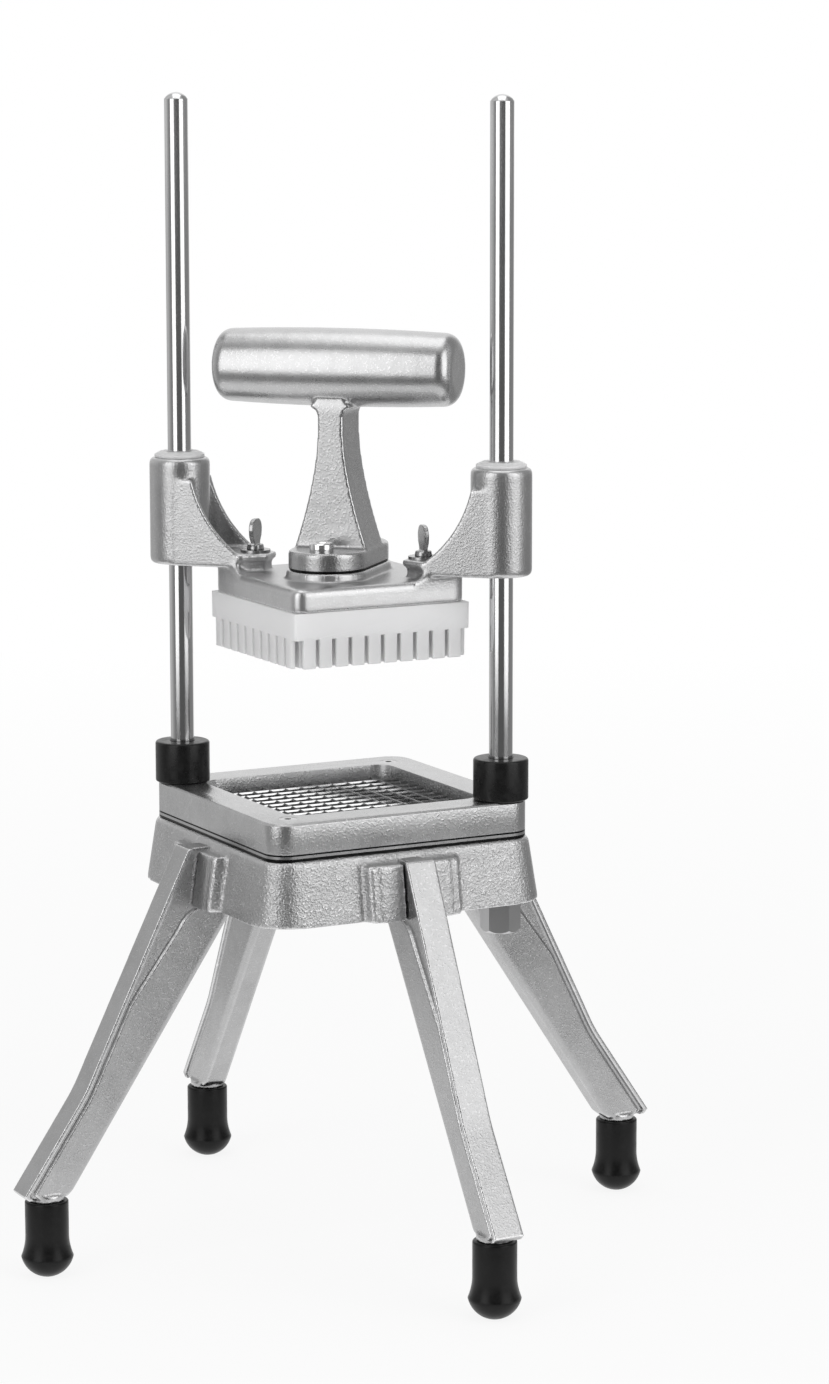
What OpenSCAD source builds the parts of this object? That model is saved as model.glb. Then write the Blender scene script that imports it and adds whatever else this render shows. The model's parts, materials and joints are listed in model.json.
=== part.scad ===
// Vertical tomato slicer: a pusher head slides on two guide rods and presses food
// through a square grid of blades in a four-legged cast base. Millimetres, +Z up,
// origin on the floor under the middle of the grid. X and Y run along the sides of
// the square base. The head lies along the diagonal between the two guide rods.

/* [Guide rods] */
// Height of the rod tops above the floor
rod_top = 481.4; // [450:0.1:520]
// Distance between the rod centres
rod_spacing = 140.6; // [138:0.1:143]
// Diameter of a guide rod
rod_d = 9.9; // [8:0.1:11]
// Diameter of the threaded lower end of a rod
rod_thread_d = 8; // [6:0.1:9]
// Width across the flats of the nut under a rod
rod_nut_flats = 14.6; // [12:0.1:16]
// Height of the nut under a rod
rod_nut_h = 15.2; // [9:0.1:18]
// Depth of the blind thread in that nut
rod_nut_bore = 12; // [6:0.1:13]

/* [Bumpers] */
// Outer diameter of a rubber bumper
bumper_d = 23; // [18:0.1:25]
// Gap left between the push block's band and the blades when the head rests on the bumpers
stop_gap = 0.1; // [0.1:0.1:3]

/* [Base casting] */
// Height of the skirt's lower edge above the floor
skirt_z = 149.6; // [145:0.1:155]
// Height of the base casting
base_h = 26.9; // [24:0.1:32]
// Half width of the casting where its wall starts under the top edge
base_half = 61.6; // [60.8:0.1:63]
// How far the wall leans out from top to bottom
base_flare = 3.9; // [2:0.1:6]
// Radius of the casting's corners at the top
base_corner_r = 12.4; // [11.5:0.1:14]
// Rounding of the casting's top edge
base_edge_r = 2.4; // [1:0.1:3]
// Thickness of the skirt wall
base_wall = 4.5; // [3:0.1:5.5]
// Thickness of the deck
deck_t = 6; // [4:0.1:8]
// Diameter of the corner posts that the rods go through
rod_post_d = 22; // [18:0.1:24]
// Diameter of the corner posts for the frame screws
screw_post_d = 13; // [11:0.1:16]

/* [Leg sockets] */
// How far the socket pads stand out of the wall
pad_proud = 6; // [4.5:0.1:7]
// Width of one socket pad, beside the leg
pad_w = 11.2; // [9.5:0.1:12]
// Width of the round rib beside a pad
pad_rib_w = 4.2; // [3:0.1:5]
// Distance of the pads' tops below the casting's top
pad_drop = 3.9; // [3:0.1:6]
// Distance of the socket's inner face from the middle
socket_inner = 55.6; // [54:0.1:56.5]
// Distance of the socket's outer face, which the leg seats on
socket_outer = 62.4; // [61.8:0.1:64]

/* [Legs] */
// Distance of a foot's axis from the middle
leg_reach = 135.8; // [133:0.1:139]
// Width of a leg's outer flange
leg_flange_w = 13.2; // [12:0.1:15]
// Thickness of a leg's outer flange
leg_flange_t = 2; // [1.6:0.1:3.2]
// Width of the groove between a leg's flange and its body
leg_groove_w = 2; // [1.2:0.1:3]
// Width of a leg's body
leg_body_w = 12; // [10:0.1:12.2]
// Width of the recessed web between the flange and the body
leg_web_w = 9.4; // [8:0.1:10]
// Clearance of the web in its slot, on each side
leg_slot_gap = 0.4; // [0.3:0.1:0.8]
// Rounding of the leg's inner edges
leg_edge_r = 3.4; // [2:0.1:4]
// Distance of the flange's top from the middle
leg_top_out = 73; // [72:0.1:75]
// Drop of the leg's top under the casting's top
leg_top_drop = 2.4; // [1:0.1:4]
// How far out the bend of the flange lies, as a share of the way from its top to the toe
leg_bend_share = 0.627; // [0.6:0.001:0.65]
// Height of the bend above the floor
leg_bend_z = 75.8; // [72:0.1:80]
// Radius of the bend
leg_bend_r = 70; // [40:1:90]
// Distance from the foot's axis out to the tip of the toe
toe_past = 13.7; // [12:0.1:15]
// Height of the toe's underside
leg_toe_z = 34; // [33.6:0.1:36]
// Distance from the middle to the leg's inner edge, under the skirt
leg_in_top = 49.8; // [48:0.1:51]
// Distance from the foot's axis in to the leg's inner edge, at the toe
toe_inside = 9.4; // [9:0.1:11]
// Diameter of the leg bolts
leg_bolt_d = 5; // [4:0.1:5.5]
// Thread length of the leg bolts past the socket wall
leg_bolt_grip = 7; // [5:0.1:8]
// Height of the lower leg bolt above the skirt's lower edge
leg_bolt_low = 5.6; // [5.2:0.1:5.8]
// Distance between the two bolts of a leg
leg_bolt_gap = 10; // [9.6:0.1:10.2]

/* [Feet] */
// Height of a rubber foot
foot_h = 32; // [29:0.1:32.8]
// Diameter of a foot at its top
foot_top_d = 18; // [17:0.1:19]
// Diameter of a foot at its bulb
foot_bulb_d = 21.6; // [20:0.1:23]
// Height of the bulb's widest place
foot_bulb_z = 8.2; // [7:0.1:9.2]
// Diameter of the flat that a foot stands on
foot_flat_d = 6.4; // [6:0.1:10]
// Diameter of the peg inside a foot
peg_d = 12; // [9:0.1:13]
// Height of the peg's lower end
peg_z = 11; // [10:0.1:16]

/* [Blade frame] */
// Half width of the blade frame
frame_half = 59.75; // [58:0.05:60]
// Corner radius of the blade frame
frame_corner_r = 9.6; // [8:0.1:10]
// Height of the blade frame
frame_h = 12.9; // [11:0.1:15]
// Bevel of the frame's upper edges
frame_bevel = 0.9; // [0.4:0.1:1.5]
// Thickness of the retainer plate under the frame
retainer_t = 2.4; // [1.5:0.1:3]
// Half width of the opening
opening_half = 44; // [42.5:0.1:44.5]
// Corner radius of the opening
opening_r = 8; // [6:0.1:9]
// Distance of the frame screws from the middle, along the diagonal
screw_reach = 67.2; // [65.5:0.1:69]
// Diameter of the frame screws
screw_d = 4; // [3:0.1:5]
// Head diameter of the frame screws
screw_head_d = 7.4; // [6:0.1:8.5]

/* [Blades] */
// Number of blades each way
blade_count = 11; // [9:2:11]
// Distance from blade to blade
blade_pitch = 7.42; // [7:0.01:7.6]
// Thickness of a blade
blade_t = 0.5; // [0.3:0.05:0.8]
// Height of a blade
blade_h = 7.5; // [6:0.1:8.5]
// Length of the blade's seat in the frame wall
blade_seat = 3.4; // [2:0.1:4]

/* [Pusher head] */
// Height of the housings' lower ends above the floor, as stored
head_z = 285.2; // [283:0.1:292]
// Outer diameter of a rod housing
housing_d = 25.4; // [24:0.1:28]
// Length of a rod housing
housing_h = 44.7; // [42:0.1:50]
// Rounding of the housings' end edges
housing_edge_r = 2.2; // [1:0.1:2.5]
// Half width of the pusher plate
plate_half = 39.3; // [38:0.1:39.6]
// Corner radius of the pusher plate
plate_corner_r = 5.4; // [4:0.1:8]
// Height of the pusher plate
plate_h = 9.6; // [8:0.1:10.5]
// Drop from the housings' lower ends to the plate's underside
plate_drop = 11.5; // [11:0.1:12.5]
// Rounding of the plate's top edge
plate_edge_r = 2.8; // [1:0.1:3.4]
// Height of the raised seat for the handle
seat_h = 3.8; // [3:0.1:5]
// Height of the arms' floor
arm_floor_h = 5.7; // [5:0.1:7.5]
// Width of an arm
arm_w = 25; // [22:0.1:25.2]
// Thickness of an arm's side web
web_t = 2.8; // [2:0.1:4]
// Radius of the concave edge of the webs
web_r = 52; // [48:0.5:56]
// Height of the webs above the housings' lower ends
web_h = 36.3; // [33:0.1:40]
// Height of the concave edge's centre above the webs' top
web_arc_rise = 11.4; // [8:0.1:14]
// How far the concave edge runs on past the housing's near side
web_lip = 3.1; // [2:0.1:4.5]
// Distance of the pads' inner ends from the middle
pad_in = 29.3; // [28:0.1:31]
// Length of the pads' overhanging tips
pad_tip_len = 11; // [10.4:0.1:12]
// Thickness of the pads' overhanging tips
pad_tip_t = 2.8; // [2.4:0.1:4]
// How far a pad's edge stands out over the metal under it
pad_lip = 1.8; // [1:0.1:3]

/* [Bushings] */
// Outer diameter of a bushing's sleeve
bush_d = 14; // [12.5:0.1:16]
// Length of a bushing's sleeve
bush_len = 16; // [10:0.1:18]
// Diameter of the upper flange
bush_flange_d = 21; // [18:0.1:23]
// Height of the upper flange above the housing
bush_flange_h = 2.4; // [1.5:0.1:3]
// Diameter of the lower flange, sunk in the housing
bush_low_d = 18; // [16:0.1:20]
// Height of the lower flange
bush_low_h = 2; // [1.5:0.1:3]

/* [Push block] */
// Half width of the push block
block_half = 40.2; // [39.4:0.1:40.6]
// Height of the block's solid band
block_band_h = 11; // [9:0.1:12]
// Length of the block's teeth
tooth_h = 11.8; // [9:0.1:12]
// Gap between the teeth
tooth_gap = 1.95; // [1.5:0.05:2.4]
// How far each side of the block leans in from top to bottom
block_draft = 0.3; // [0.1:0.1:0.8]
// Corner rounding of the block
block_corner_r = 1.2; // [1:0.1:3]

/* [Thumb screws] */
// Distance of the thumb screws from the middle
thumb_reach = 36.8; // [36:0.1:38]
// Diameter of a thumb screw's thread
thumb_d = 5; // [4:0.1:6]
// Depth of a thumb screw in the push block
thumb_sink = 8; // [5:0.1:9]
// Outer diameter of a washer
washer_d = 12.6; // [11:0.1:13.5]
// Thickness of a washer
washer_t = 1.1; // [0.8:0.1:1.6]
// Diameter of the round collar under a thumb screw's paddle
collar_d = 7.4; // [7:0.1:9]
// Height of the collar
collar_h = 2.2; // [1.6:0.1:3]
// Width of the paddle that the fingers hold
paddle_w = 11.6; // [10:0.1:14]
// Height of the paddle's top above the washer
paddle_h = 12.9; // [11:0.1:14]
// Thickness of the paddle
paddle_t = 1.9; // [1.6:0.1:2.6]
// Rounding of the paddle's top corners
paddle_r = 4.6; // [3:0.1:5]
// Width of the paddle's neck
paddle_neck_w = 7; // [6:0.1:8]
// Angle of the left paddle from the head's cross direction, as stored
thumb_turn_left = 0; // [0:1:45]
// Angle of the right paddle from the head's cross direction, as stored
thumb_turn_right = 32; // [0:1:45]

/* [Handle] */
// Length of the grip
grip_len = 103.8; // [98:0.1:116]
// Diameter of the grip in its middle
grip_mid_d = 32.4; // [29:0.1:35]
// Diameter of the grip at its ends
grip_end_d = 30.4; // [27:0.1:32]
// Rounding of the grip's ends
grip_edge_r = 6; // [4:0.1:8]
// Height of the grip's axis above the handle's foot
grip_rise = 82.1; // [78:0.1:92]
// Width of the stem under the grip
stem_top_w = 11; // [9:0.1:14]
// Radius of the fillets between the stem and the grip
stem_fillet_r = 3; // [2:0.1:6]
// Width of the stem at its foot
stem_foot_w = 31; // [26:0.1:31.8]
// Depth of the stem
stem_depth = 22.8; // [20:0.1:24]
// Height over which the stem flares
stem_flare_h = 46; // [40:0.1:50]
// Thickness of the handle's foot
hfoot_t = 8.2; // [7:0.1:10]
// Half width of the handle's foot
hfoot_half_w = 16.2; // [16:0.1:18]
// Half length of the handle's foot
hfoot_half_l = 31; // [29.5:0.1:33]
// Distance of the handle bolts from the middle
hbolt_reach = 22.9; // [21.5:0.1:24]
// Diameter of the handle bolts
hbolt_d = 6; // [4:0.1:6]
// Length of the handle bolts under their heads
hbolt_len = 18; // [14:0.1:20]

/* [Fits] */
// Radial running clearance between a bushing and its rod
run_gap = 0.06; // [0.02:0.01:0.1]
// Radial clearance of pressed and screwed round fits
press_gap = 0.03; // [0.01:0.01:0.05]
// Radial clearance of a bolt or rod in a plain hole
hole_gap = 0.25; // [0.1:0.05:0.4]
// Clearance of a blade in its slot
slot_gap = 0.06; // [0.03:0.01:0.1]

/* [Hidden] */
$fn = 64;
eps = 0.01;
diagonal = -45;
hex_sides = 6;
side_turns = [0, 90, 180, 270];
base_top = skirt_z + base_h;
frame_z = base_top + retainer_t;
frame_top = frame_z + frame_h;
rod_half = rod_spacing / 2;
wall_angle = atan(base_flare / base_h);
rod_post_end = skirt_z + 1.2;
nut_z = rod_post_end - rod_nut_h;
rod_end = nut_z + rod_nut_h - rod_nut_bore + 0.4;
frame_mid = frame_half - frame_corner_r;
blade_z = frame_z;
blade_top = blade_z + blade_h;
blade_first = -blade_pitch * (blade_count - 1) / 2;
blade_last = -blade_first;
plate_z = head_z - plate_drop;
plate_top = plate_z + plate_h;
seat_z = plate_top + seat_h;
pad_z = head_z + arm_floor_h;
block_z = plate_z - block_band_h - tooth_h;
bumper_top = blade_top + stop_gap + block_band_h + plate_drop;
bumper_h = bumper_top - frame_top;
hfoot_z = seat_z;
hfoot_top = hfoot_z + hfoot_t;
grip_z = hfoot_z + grip_rise;
hfoot_end_c = hfoot_half_l - hfoot_half_w;
seat_margin = 1;
seat_edge_r = 1.2;
hfoot_edge_r = 1.4;
arm_start = pad_in + pad_tip_len;
ramp_r = pad_z - pad_tip_t - plate_top;
pad_tip_share = 0.45;
thumb_boss_d = 8;
thumb_boss_h = 0.6;
leg_slot_w = leg_web_w + 2 * leg_slot_gap;
leg_top_z = base_top - leg_top_drop;
pad_top_z = base_top - pad_drop;
leg_toe_out = leg_reach + toe_past;
leg_in_toe = leg_reach - toe_inside;
leg_bend_out = leg_top_out + (leg_toe_out - leg_top_out) * leg_bend_share;
leg_bolt_z = skirt_z + leg_bolt_low;
leg_bolt_zs = [leg_bolt_z, leg_bolt_z + leg_bolt_gap];
toe_round = 2;
shoulder_r = 15;
leg_bolt_head_h = 3.5;
leg_bolt_flats = 8;
leg_washer_t = 1;
leg_washer_d = 9;
hbolt_head_d = 10;
hbolt_head_h = 3.6;
hbolt_key = 4;
thread_pocket = 1;

steel = [0.74, 0.74, 0.75];
cast = [0.70, 0.71, 0.71];
dark_rubber = [0.08, 0.08, 0.08];
white_plastic = [0.93, 0.93, 0.92];

// Points of a round arc from angle a0 to angle a1 in n steps
function arc(cx, cy, r, a0, a1, n = 12) =
    [for (i = [0 : n]) let (a = a0 + (a1 - a0) * i / n) [cx + r * cos(a), cy + r * sin(a)]];

// Turns its children into the head's direction, along the line between the rods
module on_diagonal() {
    rotate([0, 0, diagonal]) children();
}

// Square outline with half width s and round corners of radius r
module round_square(s, r) {
    square([2 * s, 2 * (s - r)], center = true);
    square([2 * (s - r), 2 * s], center = true);
    for (x = [-1, 1], y = [-1, 1]) {
        translate([x * (s - r), y * (s - r)]) circle(r);
    }
}

// Sweeps a side profile round a square whose corner centres lie c from the middle,
// and fills the middle from z0 to z1
module swept_square(c, z0, z1) {
    for (turn = side_turns) rotate([0, 0, turn]) {
        translate([c, c, 0]) rotate_extrude(angle = 90) children();
        translate([c, c, 0]) rotate([90, 0, 0]) linear_extrude(2 * c) children();
    }
    translate([-c, -c, z0]) cube([2 * c, 2 * c, z1 - z0]);
}

// Hexagonal prism with flats f apart and height h
module hexagon(f, h) {
    cylinder(h = h, d = f / cos(30), $fn = hex_sides);
}

// Hexagonal bolt head or nut with its upper corners chamfered
module hex_head(f, h) {
    chamfer = 0.12 * f;
    intersection() {
        hexagon(f, h);
        union() {
            cylinder(h = h - chamfer, d = f * 1.2);
            translate([0, 0, h - chamfer - eps])
                cylinder(h = chamfer + eps, d1 = f * 1.2, d2 = f * 0.96);
        }
    }
}

// Round bolt head with a chamfered edge and a hexagon socket
module cap_head(d, h, key) {
    chamfer = 0.05 * d;
    difference() {
        union() {
            cylinder(h = h - chamfer, d = d);
            translate([0, 0, h - chamfer - eps])
                cylinder(h = chamfer + eps, d1 = d, d2 = d - 2 * chamfer);
        }
        translate([0, 0, h * 0.45]) hexagon(key, h);
    }
}

// Base casting

// Side profile of the casting: leaning wall with a round top edge
module base_profile(inset, z_top) {
    r_top = base_corner_r - inset;
    rise = z_top - skirt_z;
    lean = base_flare * rise / base_h;
    edge = inset == 0 ? base_edge_r : 0.5;
    polygon(concat(
        [[0, skirt_z], [r_top + lean, skirt_z]],
        arc(r_top - edge, z_top - edge, edge, 8, 90, 6),
        [[0, z_top]]));
}

// Solid block inside the casting's outer surface, drawn in by inset
module base_block(inset, z_top) {
    c = base_half - base_corner_r;
    swept_square(c, skirt_z, z_top) base_profile(inset, z_top);
}

// Plan of one leg socket: two pads with a round rib and a hollow flank beside each
module socket_plan() {
    flank = 5;
    pad_start = leg_slot_w / 2;
    pad_end = pad_start + pad_w;
    rib_mid = pad_end + pad_rib_w / 2 + 0.4;
    half = rib_mid + pad_rib_w / 2;
    translate([-half, -12]) square([2 * half, 12 + pad_proud - 2.2]);
    for (side = [-1, 1]) {
        translate([side * (pad_start + pad_w / 2) - pad_w / 2, -eps]) square([pad_w, pad_proud + eps]);
        translate([side * rib_mid, pad_proud - 2.4]) circle(pad_rib_w / 2);
        difference() {
            translate([side * (half + flank / 2) - flank / 2 - eps, -4])
                square([flank + 2 * eps, 4 + pad_proud - 2.4]);
            translate([side * (half + flank), pad_proud - 2.4]) circle(flank);
        }
    }
}

// One leg socket, on the front side of the casting
module leg_socket() {
    lift = (base_flare + 1) * sin(wall_angle);
    intersection() {
        translate([0, -base_half + eps, base_top])
            rotate([180 - wall_angle, 0, 0])
                translate([0, 0, -lift]) linear_extrude(base_h + 2 * lift + 2) socket_plan();
        translate([-40, -90, skirt_z]) cube([80, 90 - socket_inner, pad_top_z - skirt_z]);
    }
    // thick inner wall that the bolts go through
    translate([-pad_rib_w - pad_w, -socket_outer, skirt_z])
        cube([2 * (pad_rib_w + pad_w), socket_outer - socket_inner, base_h - deck_t / 2]);
}

// Slot for the leg in the socket's outer side
module leg_slot() {
    translate([-leg_slot_w / 2, -socket_outer - 20, skirt_z - 1])
        cube([leg_slot_w, 20, leg_top_z + 0.6 - skirt_z + 1]);
}

module base_casting() color(cast) difference() {
    union() {
        difference() {
            base_block(0, base_top);
            translate([0, 0, -deck_t]) intersection() {
                base_block(base_wall, base_top);
                translate([-90, -90, 0]) cube([180, 180, base_top + 1]);
            }
            translate([0, 0, skirt_z - deck_t - 1])
                linear_extrude(deck_t + 2)
                    round_square(base_half + base_flare - base_wall, base_corner_r);
        }
        for (turn = side_turns) rotate([0, 0, turn]) leg_socket();
        on_diagonal() for (side = [-1, 1]) {
            translate([side * rod_half, 0, rod_post_end])
                cylinder(h = base_top - deck_t / 2 - rod_post_end, d = rod_post_d);
            translate([0, side * screw_reach, skirt_z + 4])
                cylinder(h = base_h - deck_t / 2 - 4, d = screw_post_d);
        }
    }
    translate([0, 0, base_top - deck_t - 3]) linear_extrude(deck_t + 4)
        round_square(opening_half + 0.6, opening_r);
    for (turn = side_turns) rotate([0, 0, turn]) {
        leg_slot();
        for (z = leg_bolt_zs) translate([0, -socket_outer - 1, z]) rotate([-90, 0, 0])
            cylinder(h = socket_outer - socket_inner + 2, r = leg_bolt_d / 2 + hole_gap);
    }
    on_diagonal() for (side = [-1, 1]) {
        translate([side * rod_half, 0, skirt_z - 1])
            cylinder(h = base_h + 2, r = rod_thread_d / 2 + hole_gap);
        translate([side * rod_half, 0, base_top - thread_pocket])
            cylinder(h = thread_pocket + 1, r = rod_d / 2 + press_gap);
        translate([0, side * screw_reach, base_top - 14])
            cylinder(h = 15, r = screw_d / 2 + press_gap);
    }
}

// Blade frame, retainer plate and blades

// Square ring of the frame with height h from z, bevelled by bevel at its top
module frame_block(z, h, bevel) {
    swept_square(frame_mid, z, z + h)
        polygon([[0, z], [frame_corner_r, z], [frame_corner_r, z + h - bevel],
                 [frame_corner_r - bevel, z + h], [0, z + h]]);
}

// Strip of places for the blades of one direction
module each_blade() {
    for (i = [0 : blade_count - 1]) translate([0, blade_first + i * blade_pitch, 0]) children();
}

module blade_frame() color(cast) difference() {
    frame_block(frame_z, frame_h, frame_bevel);
    translate([0, 0, frame_z - 1]) linear_extrude(frame_h + 2) round_square(opening_half, opening_r);
    slot_len = 2 * (opening_half + blade_seat + slot_gap);
    slot_w = blade_t + 2 * slot_gap;
    for (turn = [0, 90]) rotate([0, 0, turn]) each_blade()
        translate([-slot_len / 2, -slot_w / 2, frame_z - 1]) cube([slot_len, slot_w, blade_h + slot_gap + 1]);
    on_diagonal() for (side = [-1, 1]) {
        translate([side * rod_half, 0, frame_z - 1]) cylinder(h = frame_h + 2, r = rod_d / 2 + press_gap);
        translate([0, side * screw_reach, frame_z - 1]) cylinder(h = frame_h + 2, r = screw_d / 2 + hole_gap);
        translate([0, side * screw_reach, frame_top]) screw_sink(press_gap);
    }
}

// Cone and short cylinder of a countersunk head, below the level z = 0
module screw_sink(gap) {
    r = screw_head_d / 2 + gap;
    cone = r - screw_d / 2;
    translate([0, 0, -0.6]) cylinder(h = 1.6, r = r);
    translate([0, 0, -0.6 - cone]) cylinder(h = cone, r1 = screw_d / 2, r2 = r);
}

module blade_retainer() color(cast) difference() {
    frame_block(base_top, retainer_t, 0.3);
    translate([0, 0, base_top - 1]) linear_extrude(retainer_t + 2)
        round_square(opening_half + 0.3, opening_r);
    on_diagonal() for (side = [-1, 1]) {
        translate([side * rod_half, 0, base_top - 1]) cylinder(h = retainer_t + 2, r = rod_d / 2 + hole_gap);
        translate([0, side * screw_reach, base_top - 1])
            cylinder(h = retainer_t + 2, r = screw_d / 2 + hole_gap);
    }
}

// One blade along X with a row of half-depth notches, open at its top or its bottom
module blade(notch_on_top) {
    len = 2 * (opening_half + blade_seat);
    notch_w = blade_t + 2 * slot_gap;
    notch_h = blade_h / 2 + slot_gap;
    difference() {
        translate([-len / 2, -blade_t / 2, blade_z]) cube([len, blade_t, blade_h]);
        for (i = [0 : blade_count - 1])
            translate([blade_first + i * blade_pitch - notch_w / 2, -blade_t,
                       notch_on_top ? blade_z + blade_h - notch_h : blade_z - 1])
                cube([notch_w, 2 * blade_t, notch_h + 1]);
    }
}

module blades_lengthwise() color(steel) each_blade() blade(true);

module blades_crosswise() color(steel) rotate([0, 0, 90]) each_blade() blade(false);

module frame_screws() color(steel) on_diagonal() for (side = [-1, 1])
    translate([0, side * screw_reach, 0]) difference() {
        union() {
            translate([0, 0, base_top - 12]) cylinder(h = frame_top - base_top + 12 - 2, d = screw_d);
            intersection() {
                translate([0, 0, frame_top]) screw_sink(0);
                translate([0, 0, frame_top - 10]) cylinder(h = 10 - 0.1, d = 20);
            }
        }
        translate([0, 0, frame_top - 2]) cylinder(h = 4, d = 3, $fn = hex_sides);
    }

// Legs and feet

// Points of the flange's outer line from the top down to the toe, drawn in by inset
function leg_line(inset) = let (
    top_dir = atan2(leg_bend_z - leg_top_z, leg_bend_out - leg_top_out),
    toe_dir = atan2(leg_toe_z - leg_bend_z, leg_toe_out - leg_bend_out),
    cut = leg_bend_r * tan((toe_dir - top_dir) / 2),
    cx = leg_bend_out - cut * cos(top_dir) - leg_bend_r * sin(top_dir),
    cz = leg_bend_z - cut * sin(top_dir) + leg_bend_r * cos(top_dir),
    toe_x = leg_toe_out - inset / sin(-toe_dir)
) concat(
    [[leg_top_out - inset / sin(-top_dir), leg_top_z]],
    arc(cx, cz, leg_bend_r + inset, top_dir - 90, toe_dir - 90, 8),
    [[toe_x + toe_round / tan(toe_dir), leg_toe_z + toe_round],
     [toe_x + toe_round / tan(toe_dir) - toe_round, leg_toe_z]]);

// Points of the leg's inner line, from the toe up to the skirt
function leg_inner() = [
    [leg_in_toe + toe_round, leg_toe_z],
    [leg_in_toe - 0.6, leg_toe_z + toe_round],
    [leg_in_top, skirt_z]];

// Points of the leg's seat in its socket, from the skirt up to the leg's top
function leg_seat() = [[socket_outer, skirt_z], [socket_outer, leg_top_z]];

// Side outline of the leg's web, which also fills the socket
module leg_web_plan() {
    polygon(concat(leg_line(1), leg_inner(), leg_seat()));
}

// Side outline of the thick body, which ends in a round shoulder under the skirt
module leg_body_plan() {
    shoulder_x = socket_outer + 1;
    shoulder_end = 25;
    intersection() {
        polygon(concat(leg_line(leg_flange_t + leg_groove_w), leg_inner(), leg_seat()));
        union() {
            translate([shoulder_x, skirt_z - shoulder_r]) circle(shoulder_r);
            polygon([[leg_in_top - 5, skirt_z], [shoulder_x, skirt_z],
                     [shoulder_x + shoulder_r * cos(shoulder_end),
                      skirt_z - shoulder_r + shoulder_r * sin(shoulder_end)],
                     [leg_bend_out, leg_bend_z + 6], [leg_toe_out + 5, leg_bend_z],
                     [leg_toe_out + 5, 0], [leg_in_toe - 10, 0]]);
        }
    }
}

// Strip along the flange's outer line
module leg_flange_plan() {
    inner = leg_line(leg_flange_t);
    last = len(inner) - 1;
    polygon(concat(leg_line(0), [for (i = [last : -1 : 0]) inner[i]]));
}

// Stands a side outline up along -Y and gives it the width w
module leg_plate(w) {
    rotate([0, 0, -90]) rotate([90, 0, 0]) translate([0, 0, -w / 2]) linear_extrude(w) children();
}

// Rounds the two inner edges of the leg
module leg_edge_cut() {
    dir = atan2(leg_toe_z - skirt_z, leg_in_toe - leg_in_top);
    run = norm([leg_in_toe - leg_in_top, skirt_z - leg_toe_z]);
    over = run * 0.3;
    for (side = [-1, 1]) rotate([0, 0, -90]) translate([leg_in_top, side * leg_body_w / 2, skirt_z])
        rotate([0, 90 - dir, 0]) translate([0, 0, -over]) linear_extrude(run + 2 * over) difference() {
            translate([-leg_edge_r, side > 0 ? -leg_edge_r : -1]) square(leg_edge_r + 1);
            translate([-leg_edge_r, -side * leg_edge_r]) circle(leg_edge_r);
        }
}

module leg() color(cast) difference() {
    union() {
        leg_plate(leg_web_w) leg_web_plan();
        leg_plate(leg_body_w) leg_body_plan();
        leg_plate(leg_flange_w) leg_flange_plan();
        translate([0, -leg_reach, peg_z]) cylinder(h = leg_toe_z - peg_z + 1, d = peg_d);
        translate([0, -leg_reach, foot_h]) cylinder(h = leg_toe_z - foot_h + 1, d = foot_top_d - 3);
    }
    leg_edge_cut();
    for (z = leg_bolt_zs) translate([0, -socket_outer - leg_bolt_grip - 1, z]) rotate([-90, 0, 0])
        cylinder(h = leg_bolt_grip + 2, r = leg_bolt_d / 2 + press_gap);
}

module foot() color(dark_rubber) translate([0, -leg_reach, 0]) difference() {
    flat_r = foot_flat_d / 2;
    bulb_r = foot_bulb_d / 2;
    top_r = foot_top_d / 2;
    // the round bottom is a part of a ball, from the flat's rim to the bulb's edge
    ball_z = (bulb_r * bulb_r + foot_bulb_z * foot_bulb_z - flat_r * flat_r) / (2 * foot_bulb_z);
    ball_r = norm([flat_r, ball_z]);
    waist_z = foot_bulb_z * 2.1;
    flare = [for (i = [1 : 5]) let (t = i / 5)
        [top_r + (bulb_r - top_r) * pow(1 - t, 2), foot_bulb_z + (waist_z - foot_bulb_z) * t]];
    rotate_extrude() polygon(concat(
        [[0, 0]],
        arc(0, ball_z, ball_r, -atan2(ball_z, flat_r), -atan2(ball_z - foot_bulb_z, bulb_r), 8),
        flare, [[top_r, foot_h - 0.6], [top_r - 0.6, foot_h], [0, foot_h]]));
    translate([0, 0, peg_z - press_gap]) cylinder(h = foot_h, r = peg_d / 2 + press_gap);
}

module leg_front() leg();
module leg_right() rotate([0, 0, 90]) leg();
module leg_back() rotate([0, 0, 180]) leg();
module leg_left() rotate([0, 0, 270]) leg();
module foot_front() foot();
module foot_right() rotate([0, 0, 90]) foot();
module foot_back() rotate([0, 0, 180]) foot();
module foot_left() rotate([0, 0, 270]) foot();

// Places its children at the leg bolts, with +Z pointing into the casting
module each_leg_bolt() {
    for (turn = side_turns, z = leg_bolt_zs) rotate([0, 0, turn])
        translate([0, -socket_inner, z]) rotate([-90, 0, 0]) children();
}

module leg_bolts() color(steel) each_leg_bolt() {
    shank = socket_outer - socket_inner + leg_bolt_grip;
    translate([0, 0, -shank]) cylinder(h = shank + leg_washer_t + eps, d = leg_bolt_d);
    translate([0, 0, leg_washer_t]) hex_head(leg_bolt_flats, leg_bolt_head_h);
}

module leg_bolt_washers() color(steel) each_leg_bolt() difference() {
    cylinder(h = leg_washer_t, d = leg_washer_d);
    translate([0, 0, -1]) cylinder(h = leg_washer_t + 2, r = leg_bolt_d / 2 + hole_gap);
}

// Guide rods, their nuts and bumpers

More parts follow.
